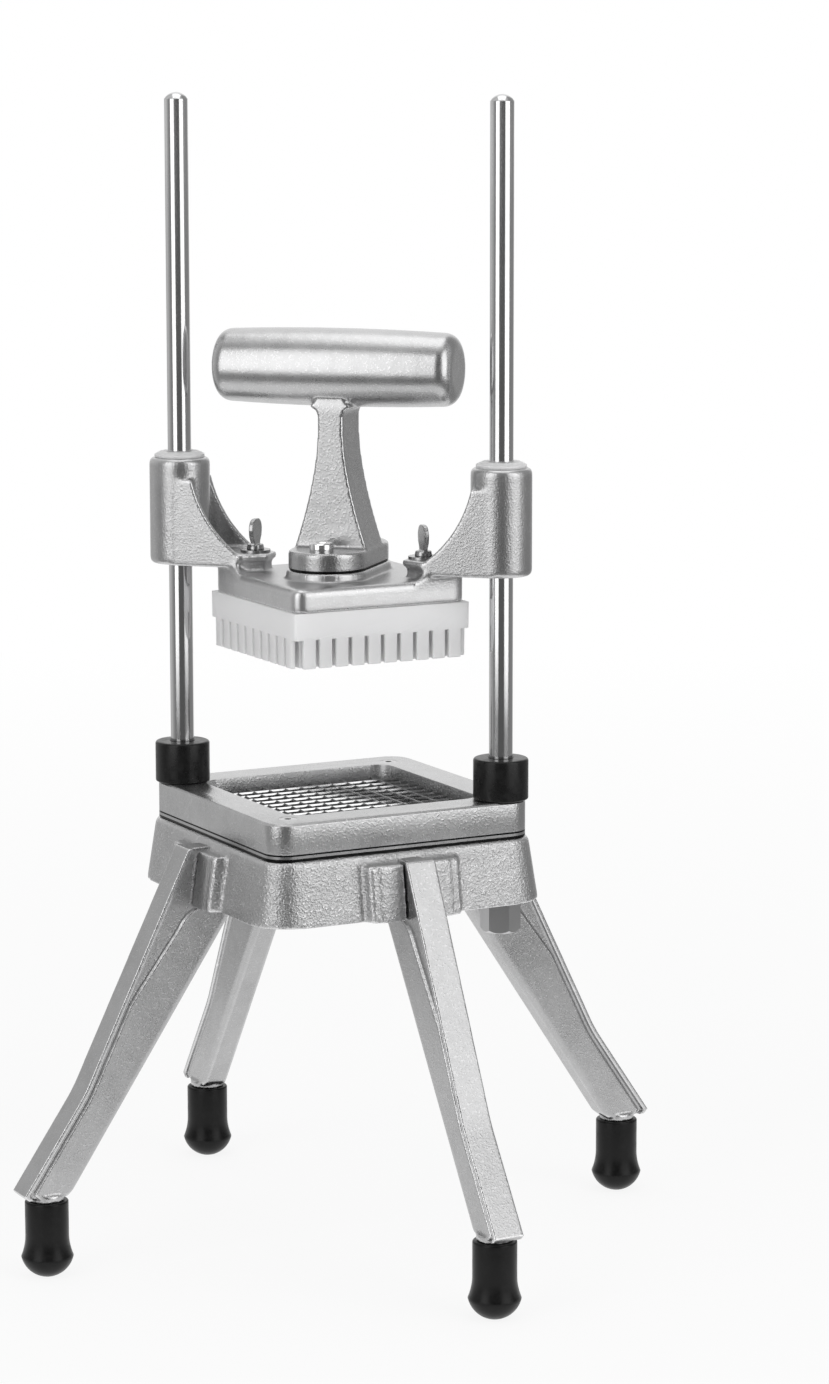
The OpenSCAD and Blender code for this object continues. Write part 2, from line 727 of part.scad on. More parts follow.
module guide_rod(side) color(steel) on_diagonal() translate([side * rod_half, 0, 0]) {
    dome_h = rod_d * 0.28;
    dome_r = (rod_d * rod_d / 4 + dome_h * dome_h) / (2 * dome_h);
    body_z = base_top - thread_pocket;
    translate([0, 0, rod_end]) cylinder(h = body_z - rod_end + eps, d = rod_thread_d);
    translate([0, 0, body_z]) cylinder(h = rod_top - dome_h - body_z, d = rod_d);
    intersection() {
        translate([0, 0, rod_top - dome_r]) sphere(dome_r);
        translate([0, 0, rod_top - dome_h - eps]) cylinder(h = 2 * dome_h, d = rod_d);
    }
}

module rod_nut(side) color(steel) on_diagonal() translate([side * rod_half, 0, nut_z]) difference() {
    translate([0, 0, rod_nut_h]) mirror([0, 0, 1]) rotate([0, 0, 12]) hex_head(rod_nut_flats, rod_nut_h);
    translate([0, 0, rod_nut_h - rod_nut_bore])
        cylinder(h = rod_nut_bore + 1, r = rod_thread_d / 2 + press_gap);
}

module bumper(side) color(dark_rubber) on_diagonal() translate([side * rod_half, 0, frame_top]) {
    edge = 0.8;
    rotate_extrude() translate([rod_d / 2 + press_gap, 0]) {
        w = bumper_d / 2 - rod_d / 2 - press_gap;
        polygon([[0, 0], [w - edge / 2, 0], [w, edge / 2], [w, bumper_h - edge],
                 [w - edge, bumper_h], [0.8, bumper_h], [0, bumper_h - 0.8]]);
    }
}

module guide_rod_left() guide_rod(-1);
module guide_rod_right() guide_rod(1);
module rod_nut_left() rod_nut(-1);
module rod_nut_right() rod_nut(1);
module bumper_left() bumper(-1);
module bumper_right() bumper(1);

// Pusher head

// Long round block from z0 to z1 with half width half_w and a round top edge of radius edge
module long_block(half_w, z0, z1, edge) {
    outline = concat(
        [[0, z0], [half_w, z0]],
        arc(half_w - edge, z1 - edge, edge, 0, 90, 6),
        [[0, z1]]);
    for (side = [-1, 1]) {
        translate([0, side * hfoot_end_c, 0]) rotate_extrude() polygon(outline);
        translate([0, hfoot_end_c, 0]) rotate([90, 0, 0]) linear_extrude(2 * hfoot_end_c)
            polygon([for (p = outline) [side * p[0], p[1]]]);
    }
}

// Side outline of an arm's web: concave edge from the pad up to the housing
module web_plan() {
    arc_reach = sqrt(web_r * web_r - web_arc_rise * web_arc_rise);
    centre_x = rod_half - housing_d / 2 + web_lip - arc_reach;
    difference() {
        translate([arm_start, head_z]) square([rod_half - arm_start, web_h]);
        translate([centre_x, head_z + web_h + web_arc_rise]) circle(web_r);
    }
}

// Plan of a pad with its slanted tip, drawn in by inset
function pad_plan(inset) = let (
    half_w = arm_w / 2 - inset,
    tip_x = pad_in + inset,
    tip_w = arm_w / 2 * pad_tip_share - inset / 2
) [[arm_start + 1, -half_w], [arm_start + 1, half_w], [arm_start - 1, half_w],
   [tip_x, tip_w], [tip_x, -tip_w], [arm_start - 1, -half_w]];

// One arm with its housing, on the +X side of the head's own frame
module head_arm() {
    half_w = arm_w / 2;
    // floor of the channel, and the pad on its block of metal
    translate([arm_start, -half_w, head_z]) cube([rod_half - arm_start, arm_w, arm_floor_h]);
    translate([thumb_reach, 0, plate_top - 1]) cylinder(h = 1 + thumb_boss_h, d = thumb_boss_d);
    translate([0, 0, pad_z - pad_tip_t]) linear_extrude(pad_tip_t) polygon(pad_plan(0));
    translate([0, 0, plate_top - 1]) linear_extrude(pad_z - pad_tip_t / 2 - plate_top + 1)
        polygon(pad_plan(pad_lip));
    for (side = [-1, 1]) translate([0, side * (half_w - web_t / 2) + web_t / 2, 0])
        rotate([90, 0, 0]) linear_extrude(web_t) web_plan();
    translate([rod_half, 0, head_z]) rotate_extrude() housing_profile();
}

// Half section of a housing without its bore
module housing_profile() {
    r = housing_d / 2;
    e = housing_edge_r;
    polygon(concat([[0, 0]], arc(r - e, e, e, -90, 0, 6),
                   arc(r - e, housing_h - e, e, 0, 90, 6), [[0, housing_h]]));
}

// Plate over the push block, with a round top edge
module head_plate() {
    e = plate_edge_r;
    swept_square(plate_half - plate_corner_r, plate_z, plate_top)
        polygon(concat([[0, plate_z], [plate_corner_r, plate_z]],
                       arc(plate_corner_r - e, plate_top - e, e, 0, 90, 6), [[0, plate_top]]));
}

// Side outline of the concave ramp at a riser's foot, from start inside the riser outwards
function ramp_side(start) = concat(
    [[start, plate_top - plate_edge_r], [ramp_r, plate_top - plate_edge_r]],
    arc(ramp_r, plate_top + ramp_r, ramp_r, 270, 180, 8),
    [[start, plate_top + ramp_r]]);

// Solid corners of the plate that carry the arms, kept inside the plate's own outline
module plate_risers() intersection() {
    low = plate_top - plate_edge_r;
    high = plate_top + ramp_r + 1;
    half_w = arm_w / 2;
    swept_square(plate_half - plate_corner_r, low, high)
        polygon([[0, low], [plate_corner_r, low], [plate_corner_r, high], [0, high]]);
    on_diagonal() for (turn = [0, 180]) rotate([0, 0, turn]) translate([arm_start, 0, 0]) {
        translate([0, -half_w, low]) cube([rod_half - arm_start, arm_w, head_z + 1 - low]);
        translate([0, half_w, 0]) mirror([1, 0, 0]) rotate([90, 0, 0]) linear_extrude(arm_w)
            polygon(ramp_side(-1));
        for (side = [0, 1]) mirror([0, side, 0]) translate([0, half_w, 0]) {
            rotate([90, 0, 90]) linear_extrude(arm_w) polygon(ramp_side(-1));
            rotate_extrude() polygon(ramp_side(0));
        }
    }
}

module pusher_head() color(cast) difference() {
    union() {
        head_plate();
        plate_risers();
        on_diagonal() {
            long_block(hfoot_half_w + seat_margin, plate_top - 1, seat_z, seat_edge_r);
            head_arm();
            mirror([1, 0, 0]) head_arm();
        }
    }
    on_diagonal() for (side = [-1, 1]) {
        translate([side * rod_half, 0, head_z - 1]) cylinder(h = housing_h + 2, r = rod_d / 2 + 1);
        translate([side * rod_half, 0, head_z + housing_h - bush_len])
            cylinder(h = bush_len + 1, r = bush_d / 2 + press_gap);
        translate([side * rod_half, 0, head_z - 1]) cylinder(h = bush_len + 1, r = bush_d / 2 + press_gap);
        translate([side * rod_half, 0, head_z - 1])
            cylinder(h = bush_low_h + 1, r = bush_low_d / 2 + press_gap);
        translate([side * thumb_reach, 0, plate_z - 1])
            cylinder(h = pad_z - plate_z + 2, r = thumb_d / 2 + hole_gap);
        translate([0, side * hbolt_reach, hfoot_top - hbolt_len - 1])
            cylinder(h = hbolt_len + 2, r = hbolt_d / 2 + press_gap);
    }
}

module bushing_upper(side) color(white_plastic) on_diagonal()
    translate([side * rod_half, 0, head_z + housing_h]) difference() {
        union() {
            translate([0, 0, -bush_len]) cylinder(h = bush_len + eps, d = bush_d);
            cylinder(h = bush_flange_h / 2, d = bush_flange_d);
            translate([0, 0, bush_flange_h / 2 - eps])
                cylinder(h = bush_flange_h / 2 + eps, d1 = bush_flange_d,
                         d2 = bush_flange_d - 2 * bush_flange_h);
        }
        translate([0, 0, -bush_len - 1]) cylinder(h = bush_len + bush_flange_h + 2, r = rod_d / 2 + run_gap);
    }

module bushing_lower(side) color(white_plastic) on_diagonal()
    translate([side * rod_half, 0, head_z]) difference() {
        union() {
            cylinder(h = bush_len, d = bush_d);
            cylinder(h = bush_low_h, d = bush_low_d);
        }
        translate([0, 0, -1]) cylinder(h = bush_len + 2, r = rod_d / 2 + run_gap);
    }

module bushing_left_upper() bushing_upper(-1);
module bushing_left_lower() bushing_lower(-1);
module bushing_right_upper() bushing_upper(1);
module bushing_right_lower() bushing_lower(1);

// Push block: a solid band over a field of teeth that pass between the blades
module push_block() color(white_plastic) difference() {
    swept_square(block_half - block_corner_r, block_z, plate_z)
        polygon([[0, block_z], [block_corner_r - block_draft, block_z],
                 [block_corner_r, plate_z], [0, plate_z]]);
    for (turn = [0, 90]) rotate([0, 0, turn]) each_blade()
        translate([-block_half - 1, -tooth_gap / 2, block_z - 1])
            cube([2 * block_half + 2, tooth_gap, tooth_h + 1]);
    // the corner posts outside the last blades are left off
    corner = blade_last - tooth_gap / 2;
    for (turn = side_turns) rotate([0, 0, turn])
        translate([corner, corner, block_z - 1]) cube([10, 10, tooth_h + 1]);
    on_diagonal() for (side = [-1, 1]) translate([side * thumb_reach, 0, plate_z - thumb_sink])
        cylinder(h = thumb_sink + 1, r = thumb_d / 2 + press_gap);
}

module thumb_washer(side) color(steel) on_diagonal() translate([side * thumb_reach, 0, pad_z]) difference() {
    cylinder(h = washer_t, d = washer_d);
    translate([0, 0, -1]) cylinder(h = washer_t + 2, r = thumb_d / 2 + hole_gap);
}

// Side outline of a paddle: round at the top, drawn in to a neck at the collar
module paddle_plan() {
    x = paddle_w / 2 - paddle_r;
    z = paddle_h - paddle_r;
    neck = paddle_neck_w / 2;
    polygon(concat(
        [[neck, collar_h - 0.4], [neck, collar_h + 0.8]],
        [[paddle_w / 2 - 0.5, paddle_h * 0.42]],
        arc(x, z, paddle_r, 0, 90, 8), arc(-x, z, paddle_r, 90, 180, 8),
        [[0.5 - paddle_w / 2, paddle_h * 0.42]],
        [[-neck, collar_h + 0.8], [-neck, collar_h - 0.4]]));
}

module thumb_screw(side, turn) color(steel) on_diagonal() translate([side * thumb_reach, 0, 0]) {
    foot_z = plate_z - thumb_sink + press_gap;
    translate([0, 0, foot_z]) cylinder(h = pad_z + washer_t + 0.4 - foot_z, d = thumb_d);
    translate([0, 0, pad_z + washer_t]) rotate([0, 0, 90 + turn]) {
        cylinder(h = collar_h, d1 = collar_d, d2 = collar_d - 0.8);
        rotate([90, 0, 0]) translate([0, 0, -paddle_t / 2]) linear_extrude(paddle_t) paddle_plan();
    }
}

module thumb_washer_left() thumb_washer(-1);
module thumb_washer_right() thumb_washer(1);
module thumb_screw_left() thumb_screw(-1, thumb_turn_left);
module thumb_screw_right() thumb_screw(1, thumb_turn_right);

// T-handle

// Half section of the grip: slightly barrelled, with round ends
module grip_profile() {
    half = grip_len / 2;
    belly = (grip_mid_d - grip_end_d) / 2;
    flat = half - grip_edge_r;
    r_mid = grip_mid_d / 2;
    r_end = grip_end_d / 2;
    polygon(concat(
        [[0, -half]],
        arc(r_end - grip_edge_r, -flat, grip_edge_r, -90, -8, 6),
        [for (i = [-4 : 4]) let (t = i / 5) [r_mid - belly * t * t, flat * t]],
        arc(r_end - grip_edge_r, flat, grip_edge_r, 8, 90, 6),
        [[0, half]]));
}

// Front outline of the stem: straight under the grip, flaring to its foot
module stem_plan() {
    top = stem_top_w / 2;
    sweep = stem_foot_w / 2 - top;
    grip_under = grip_z - grip_mid_d / 2;
    fillet = arc(top + stem_fillet_r, grip_under - stem_fillet_r, stem_fillet_r, 180, 90, 6);
    flare = [for (i = [0 : 8]) let (t = i / 8)
        [top + sweep * pow(1 - t, 1.55), hfoot_top + stem_flare_h * t]];
    half = concat([[0, hfoot_top - 1], [stem_foot_w / 2, hfoot_top - 1]], flare, fillet,
                  [[top + stem_fillet_r, grip_under + 1.5], [top, grip_under + 4], [0, grip_z]]);
    for (side = [-1, 1]) polygon([for (p = half) [side * p[0], p[1]]]);
}

module t_handle() color(cast) on_diagonal() difference() {
    union() {
        translate([0, 0, grip_z]) rotate([0, 90, 0]) rotate_extrude() grip_profile();
        rotate([90, 0, 0]) translate([0, 0, -stem_depth / 2]) linear_extrude(stem_depth) stem_plan();
        long_block(hfoot_half_w, hfoot_z, hfoot_top, hfoot_edge_r);
    }
    for (side = [-1, 1]) translate([0, side * hbolt_reach, hfoot_z - 1])
        cylinder(h = hfoot_t + 2, r = hbolt_d / 2 + hole_gap);
}

module handle_bolts() color(steel) on_diagonal() for (side = [-1, 1])
    translate([0, side * hbolt_reach, hfoot_top]) {
        translate([0, 0, -hbolt_len]) cylinder(h = hbolt_len + eps, d = hbolt_d);
        cap_head(hbolt_head_d, hbolt_head_h, hbolt_key);
    }

base_casting();
blade_frame();
blade_retainer();
blades_lengthwise();
blades_crosswise();
frame_screws();
leg_front();
leg_right();
leg_back();
leg_left();
leg_bolts();
leg_bolt_washers();
foot_front();
foot_right();
foot_back();
foot_left();
guide_rod_left();
guide_rod_right();
rod_nut_left();
rod_nut_right();
bumper_left();
bumper_right();
pusher_head();
bushing_left_upper();
bushing_left_lower();
bushing_right_upper();
bushing_right_lower();
push_block();
thumb_washer_left();
thumb_washer_right();
thumb_screw_left();
thumb_screw_right();
t_handle();
handle_bolts();
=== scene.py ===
"""Dresses the vertical tomato slicer: cast, turned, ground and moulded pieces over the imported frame."""

import json
import logging
import math
from dataclasses import dataclass, field
from enum import Enum
from typing import Iterable, Sequence

import bmesh
import bpy
from mathutils import Matrix, Vector

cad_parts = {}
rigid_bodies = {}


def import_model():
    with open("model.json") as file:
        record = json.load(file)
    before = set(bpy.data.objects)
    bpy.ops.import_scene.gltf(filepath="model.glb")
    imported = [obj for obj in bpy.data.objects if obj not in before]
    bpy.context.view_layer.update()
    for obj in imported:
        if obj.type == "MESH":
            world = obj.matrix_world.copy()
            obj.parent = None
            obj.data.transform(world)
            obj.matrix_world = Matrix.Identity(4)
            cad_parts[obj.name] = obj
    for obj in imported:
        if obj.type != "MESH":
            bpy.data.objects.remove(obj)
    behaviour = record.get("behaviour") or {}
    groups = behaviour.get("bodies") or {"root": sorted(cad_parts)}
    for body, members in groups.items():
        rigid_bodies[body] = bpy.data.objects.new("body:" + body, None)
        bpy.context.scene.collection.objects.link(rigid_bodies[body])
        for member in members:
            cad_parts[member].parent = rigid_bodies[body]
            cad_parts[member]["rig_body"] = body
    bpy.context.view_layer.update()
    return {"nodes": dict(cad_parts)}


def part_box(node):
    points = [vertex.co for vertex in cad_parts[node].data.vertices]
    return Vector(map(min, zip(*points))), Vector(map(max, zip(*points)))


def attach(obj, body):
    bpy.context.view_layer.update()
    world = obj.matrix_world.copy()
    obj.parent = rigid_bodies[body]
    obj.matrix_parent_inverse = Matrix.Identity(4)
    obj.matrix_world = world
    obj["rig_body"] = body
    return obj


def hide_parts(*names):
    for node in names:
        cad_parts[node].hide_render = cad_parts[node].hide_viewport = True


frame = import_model()
log = logging.getLogger("slicer")

Colour = tuple[float, float, float]
Pairs = Sequence[tuple[float, float]]
MM = 0.001
WHITE = (1, 1, 1, 1)

# which way each side of the square base faces, and which way each guide rod stands along the grip
SIDES = {"front": (0, -1), "right": (1, 0), "back": (0, 1), "left": (-1, 0)}
ROD_SIDES = {"left": -1, "right": 1}
ALONG_GRIP = Matrix.Rotation(math.radians(-45), 4, "Z")

# heights in metres: where one piece stands on another, where painted shadow lines are drawn, and where the
# thumb screws' thread ends
BASE_TOP_M = 0.1765
FRAME_FOOT_M = 0.1789
HANDLE_FOOT_M = 0.2875
THREAD_TOP_M = 0.2905

# the heights between which a casting is polished: the head's plate, and the grip with no upper end
PLATE_M = (0.2, 0.283)
GRIP_M = (0.351, 9.0)

# how near two points of a CAD node, or of a turned piece, are one point
CAD_MERGE_M = 2e-6
LATHE_MERGE_M = 1e-6
LATHE_STEPS = 96


def grey(value: float) -> Colour:
    """Returns a neutral colour of the given linear value."""
    return (value, value, value * 1.005)


class Wire:
    """A shader value that Python operators turn into Math nodes."""

    def __init__(self, graph: "Graph", socket: bpy.types.NodeSocket) -> None:
        """Keeps the graph and the output socket that holds the value."""
        self.graph = graph
        self.socket = socket

    def _math(self, operation: str, first: "Wire | float", second: "Wire | float") -> "Wire":
        """Returns the result of a new Math node."""
        return self.graph.node("ShaderNodeMath", {"operation": operation}, {0: first, 1: second})

    def __add__(self, other: "Wire | float") -> "Wire":
        """Adds a value."""
        return self._math("ADD", self, other)

    __radd__ = __add__

    def __sub__(self, other: "Wire | float") -> "Wire":
        """Takes a value off."""
        return self._math("SUBTRACT", self, other)

    def __rsub__(self, other: "Wire | float") -> "Wire":
        """Takes this off a value."""
        return self._math("SUBTRACT", other, self)

    def __mul__(self, other: "Wire | float") -> "Wire":
        """Multiplies by a value."""
        return self._math("MULTIPLY", self, other)


class Graph:
    """The node tree of one material or world."""

    def __init__(self, tree: bpy.types.NodeTree) -> None:
        """Empties the tree and keeps it."""
        self.tree = tree
        tree.nodes.clear()

    def node(self, kind: str, settings: dict, sockets: dict, output: int | str = 0) -> Wire | None:
        """Adds any node.

        Args:
            kind: the node's type.
            settings: properties that are set first; "stops" fills a colour ramp.
            sockets: a value or a Wire for each input, by name or number.
            output: the output socket that is returned.

        Returns:
            The chosen output, or None for a node that has no output.
        """
        made = self.tree.nodes.new(kind)
        for name, value in settings.items():
            if name == "stops":
                self._fill(made.color_ramp, value)
            else:
                setattr(made, name, value)
        for name, value in sockets.items():
            if isinstance(value, Wire):
                self.tree.links.new(value.socket, made.inputs[name])
            else:
                made.inputs[name].default_value = value
        return Wire(self, made.outputs[output]) if made.outputs else None

    @staticmethod
    def _fill(ramp: bpy.types.ColorRamp, stops: Pairs) -> None:
        """Sets a ramp's grey stops.

        Args:
            ramp: the ramp.
            stops: pairs of place and grey value.
        """
        while len(ramp.elements) < len(stops):
            ramp.elements.new(0.5)
        for element, (place, value) in zip(ramp.elements, stops):
            element.position = place
            element.color = (value, value, value, 1)

    def place(self, stretch: Sequence[float] = (1, 1, 1)) -> Wire:
        """Returns object coordinates in metres, multiplied by a factor along each axis."""
        here = self.node("ShaderNodeTexCoord", {}, {}, "Object")
        return self.node("ShaderNodeMapping", {}, {"Vector": here, "Scale": stretch})

    def height(self, where: Wire) -> Wire:
        """Returns the Z part of a vector."""
        return self.node("ShaderNodeSeparateXYZ", {}, {0: where}, "Z")

    def along(self, where: Wire, way: Sequence[float]) -> Wire:
        """Returns how far a vector reaches in a direction."""
        return self.node("ShaderNodeVectorMath", {"operation": "DOT_PRODUCT"}, {0: where, 1: way}, "Value")

    def noise(self, where: Wire, scale: float, detail: float = 3, rough: float = 0.5) -> Wire:
        """Returns noise of the given scale per metre."""
        return self.node("ShaderNodeTexNoise", {},
                         {"Vector": where, "Scale": scale, "Detail": detail, "Roughness": rough})

    def ramp(self, value: Wire, stops: Pairs) -> Wire:
        """Returns a value passed through grey ramp stops."""
        return self.node("ShaderNodeValToRGB", {"stops": stops}, {0: value})

    def fade(self, value: Wire, start: float, end: float) -> Wire:
        """Returns 0 before the start, 1 past the end and a straight rise between them."""
        return self.node("ShaderNodeMapRange", {}, {0: value, 1: start, 2: end})

    def blend(self, share: Wire, first: Colour | Wire, second: Colour) -> Wire:
        """Returns a colour between two, by a share."""
        return self.node("ShaderNodeMix", {"data_type": "RGBA"},
                         {0: share, 6: first if isinstance(first, Wire) else (*first, 1), 7: (*second, 1)}, 2)

    def bump(self, height: Wire, depth: float) -> Wire:
        """Returns a normal from a height and its depth in metres."""
        return self.node("ShaderNodeBump", {}, {"Height": height, "Distance": depth, "Strength": 1.0},
                         "Normal")

    def ray(self, kind: str) -> Wire:
        """Returns 1 for rays of one kind, such as Camera."""
        return self.node("ShaderNodeLightPath", {}, {}, f"Is {kind} Ray")

    def seen(self) -> Wire:
        """Returns 1 for rays that see a surface directly: from the camera, off gloss or through glass."""
        return self.ray("Camera") + self.ray("Glossy") + self.ray("Transmission")

    def surface(self, **sockets: object) -> None:
        """Ends the tree in a Principled shader.

        Args:
            sockets: its inputs, with underscores for the spaces in their names.
        """
        named = {name.replace("_", " "): value for name, value in sockets.items()}
        shader = self.node("ShaderNodeBsdfPrincipled", {}, named)
        self.node("ShaderNodeOutputMaterial", {}, {"Surface": shader})


def new_material(name: str) -> tuple[bpy.types.Material, Graph]:
    """Makes a material.

    Args:
        name: its name.

    Returns:
        The material and its graph, still empty.
    """
    made = bpy.data.materials.new(name)
    made.use_nodes = True
    return made, Graph(made.node_tree)


@dataclass(frozen=True)
class Finish:
    """What all finishes have: a material's name, its grey and its roughness."""

    name: str
    tone: float
    rough: float

    def make(self) -> bpy.types.Material:
        """Builds the material.

        Returns:
            The material.
        """
        made, graph = new_material(self.name)
        self.paint(graph)
        return made

    def paint(self, g: Graph) -> None:
        """Fills the material's graph; each finish has its own way."""
        raise NotImplementedError(self.name)


class Grain(Enum):
    """How coarse a casting's skin is: depth in metres, grains per metre, brightness of its points."""

    SAND = (0.00042, 1000, 0.6)
    TUMBLED = (0.00014, 1200, 0.3)
    FINE = (0.00002, 1600, 0.15)


@dataclass(frozen=True)
class CastFinish(Finish):
    """Satin cast aluminium: a cast grain with bright points, edges that are smoother and carry a painted
    highlight, and nooks that are rougher and carry painted shade.
    """

    grain: Grain
    sparkle: float = 0.5  # how much glossier the grain's points are
    painted_light: bool = True  # whether edges get a painted highlight and nooks painted shade
    seam_shadows_m: Pairs = ()  # painted shadow lines where pieces meet: height and half width
    polished_m: tuple[float, float] = (0.0, 0.0)  # heights between which the skin is smoother and lighter
    nook_shade_strength: float = 1.0  # how dark the painted shade in the nooks is
    edge_highlight_share: float = 0.45  # how close to white the painted highlight on the edges comes
    polish_fade_m: float = 0.004  # how softly the polish starts and ends
    edge_highlight_tone: float = 0.9  # the grey of the painted highlight on the edges
    seam_shadow_tone: float = 0.02  # the grey of the painted shadow lines

    def paint(self, g: Graph) -> None:
        """Mixes grain, clouds, polish, a painted highlight on the edges, painted shade in the nooks and
        painted shadow lines at the seams.

        Args:
            g: the material's graph.
        """
        here = g.place()
        depth, size, glint = self.grain.value
        peel = g.noise(here, size, 2, 0.55)
        cloud = g.noise(here, 40, 4, 0.6)
        patch = g.noise(here, 170, 3, 0.55)
        bend = g.node("ShaderNodeNewGeometry", {}, {}, "Pointiness")
        light_paint = 1.0 if self.painted_light else 0.0
        # painted highlight: convex edges, found by pointiness, are lighter and smoother
        edge = g.ramp(bend, [(0.508, 0), (0.55, light_paint)])
        # painted shade: concave nooks, found by pointiness, are darker and rougher
        painted_nook_shade = g.ramp(bend, [(0.43, light_paint * self.nook_shade_strength), (0.49, 0)])
        point = g.ramp(peel, [(0.56, 0), (0.68, 1)])
        # 0 is the darkest tone and 1 the lightest; the edge term adds a painted highlight and the nook term
        # takes off painted shade
        shade = (0.42 + (cloud - 0.5) * 0.7 + (patch - 0.5) * 0.4 + (point - 0.3) * glint
                 + edge * 0.5 - painted_nook_shade * 0.4)
        low, high = self.polished_m
        if high > low:
            rise = g.height(here)
            bright = (g.fade(rise, low, low + self.polish_fade_m)
                      * g.fade(rise, high, high - self.polish_fade_m))
            peel = peel * (1 - bright * 0.75)
            shade = shade + bright * 0.45
        tone = g.blend(shade, grey(self.tone * 0.8), grey(self.tone * 1.25))
        # painted highlight: the edges are lifted towards a near-white grey
        tone = g.blend(edge * self.edge_highlight_share, tone, grey(self.edge_highlight_tone))
        # painted shadow lines: a dark band at each height where two pieces meet
        if self.seam_shadows_m:
            rise = g.height(here)
            for height, half in self.seam_shadows_m:
                shadow_line = g.node("ShaderNodeMath", {"operation": "COMPARE"}, {0: rise, 1: height, 2: half})
                tone = g.blend(shadow_line, tone, grey(self.seam_shadow_tone))
        rough = self.rough + (cloud - 0.5) * 0.14 - point * 0.1 * self.sparkle - edge * 0.1 + painted_nook_shade * 0.12
        g.surface(Base_Color=tone, Metallic=1.0, Roughness=rough, Normal=g.bump(peel + patch * 0.5, depth))


@dataclass(frozen=True)
class SteelFinish(Finish):
    """Ground or polished steel, with fine lines along or round the piece."""

    lines: tuple[float, float, float] = (1, 1, 1)  # how dense the lines are along each axis
    depth: float = 0.00001  # how deep they are, in metres

    def paint(self, g: Graph) -> None:
        """Mixes lines and haze.

        Args:
            g: the material's graph.
        """
        lines = g.noise(g.place(self.lines), 900, 3, 0.6)
        haze = g.noise(g.place(), 70, 3, 0.5)
        tone = g.blend(haze, grey(self.tone * 0.93), grey(self.tone * 1.04))
        rough = self.rough + (haze - 0.5) * 0.08 + (lines - 0.5) * 0.08
        g.surface(Base_Color=tone, Metallic=1.0, Roughness=rough, Normal=g.bump(lines, self.depth))


@dataclass(frozen=True)
class ThumbScrewFinish(Finish):
    """Bright plated steel, with the turns of a screw thread below a given height, as bumps and as painted
    shade in their grooves.
    """

    pitch_mm: float
    thread_top_m: float
    thread_deep_m: float = 0.0003

    def paint(self, g: Graph) -> None:
        """Mixes the thread's turns, as bumps and as painted shade in their grooves, and the plating's haze.

        Args:
            g: the material's graph.
        """
        here = g.place()
        turns = g.node("ShaderNodeTexWave", {"bands_direction": "Z", "wave_profile": "TRI"},
                       {"Vector": here, "Scale": math.pi / 10 / (self.pitch_mm * MM)})
        below = g.node("ShaderNodeMath", {"operation": "LESS_THAN"},
                       {0: g.height(here), 1: self.thread_top_m})
        haze = g.noise(here, 260, 3, 0.5)
        skin = g.noise(here, 1500, 2, 0.5)
        # painted shade: below the thread's top, the grooves of the turns are darker
        tone = g.blend(haze * (1 - below) + turns * below, grey(self.tone * 0.7), grey(self.tone))
        g.surface(Base_Color=tone, Metallic=1.0, Roughness=self.rough + (haze - 0.5) * 0.14,
                  Normal=g.bump(turns * below + skin * 0.06, self.thread_deep_m))


@dataclass(frozen=True)
class RubberFinish(Finish):
    """Black moulded rubber with a soft shine and a little dust."""

    shine: float = 0.35
    skin_deep_m: float = 0.00002

    def paint(self, g: Graph) -> None:
        """Mixes skin and dust.

        Args:
            g: the material's graph.
        """
        skin = g.noise(g.place(), 1500, 3, 0.6)
        dust = g.ramp(g.noise(g.place(), 260, 4, 0.6), [(0.45, 0), (0.8, 1)])
        tone = g.blend(dust, grey(self.tone), grey(self.tone * 2.2))
        g.surface(Base_Color=tone, Roughness=self.rough + dust * 0.18 + (skin - 0.5) * 0.1,
                  Specular_IOR_Level=self.shine, Normal=g.bump(skin, self.skin_deep_m))


@dataclass(frozen=True)
class PlasticFinish(Finish):
    """White food-safe plastic with a fine moulded or turned skin."""

    soak: float = 0.8  # the share of light that goes into the plastic
    soak_m: float = 0.007  # how far it goes
    skin_deep_m: float = 0.00002

    def paint(self, g: Graph) -> None:
        """Mixes skin and flow marks, and lets light into the plastic.

        Args:
            g: the material's graph.
        """
        skin = g.noise(g.place(), 1200, 2, 0.5)
        flow = g.noise(g.place((1, 1, 3)), 38, 3, 0.5)
        tone = g.blend(flow, grey(self.tone * 0.97), grey(self.tone * 1.02))
        g.surface(Base_Color=tone, Roughness=self.rough + (flow - 0.5) * 0.12, Subsurface_Weight=self.soak,
                  Subsurface_Radius=(1, 1, 1), Subsurface_Scale=self.soak_m,
                  Normal=g.bump(skin, self.skin_deep_m))


@dataclass(frozen=True)
class Skin:
    """How soft a casting's edges and fillets are."""

    voxel_mm: float  # the size of the remesh
    rounds: int  # how often the surface is smoothed


@dataclass(frozen=True)
class Edge:
    """The small round along a piece's edges."""

    width_mm: float
    segments: int = 2  # how many faces the round has
    least_deg: float = 30  # the least angle between faces that is rounded


def cad_copy(node: str) -> bmesh.types.BMesh:
    """Copies a CAD node's mesh with its doubles merged.

    Args:
        node: the node's name.

    Returns:
        The copy.
    """
    shape = bmesh.new()
    shape.from_mesh(frame["nodes"][node].data)
    bmesh.ops.remove_doubles(shape, verts=shape.verts, dist=CAD_MERGE_M)
    return shape


def smooth_faces(mesh: bpy.types.Mesh) -> None:
    """Marks all faces of a mesh as smooth."""
    for face in mesh.polygons:
        face.use_smooth = True


def piece_from(shape: bmesh.types.BMesh, name: str) -> bpy.types.Object:
    """Makes an object from a bmesh and frees the bmesh.

    Args:
        shape: the bmesh, already in place.
        name: the object's name.

    Returns:
        The object, with smooth faces.
    """
    mesh = bpy.data.meshes.new(name)
    shape.to_mesh(mesh)
    shape.free()
    smooth_faces(mesh)
    made = bpy.data.objects.new(name, mesh)
    bpy.context.scene.collection.objects.link(made)
    return made


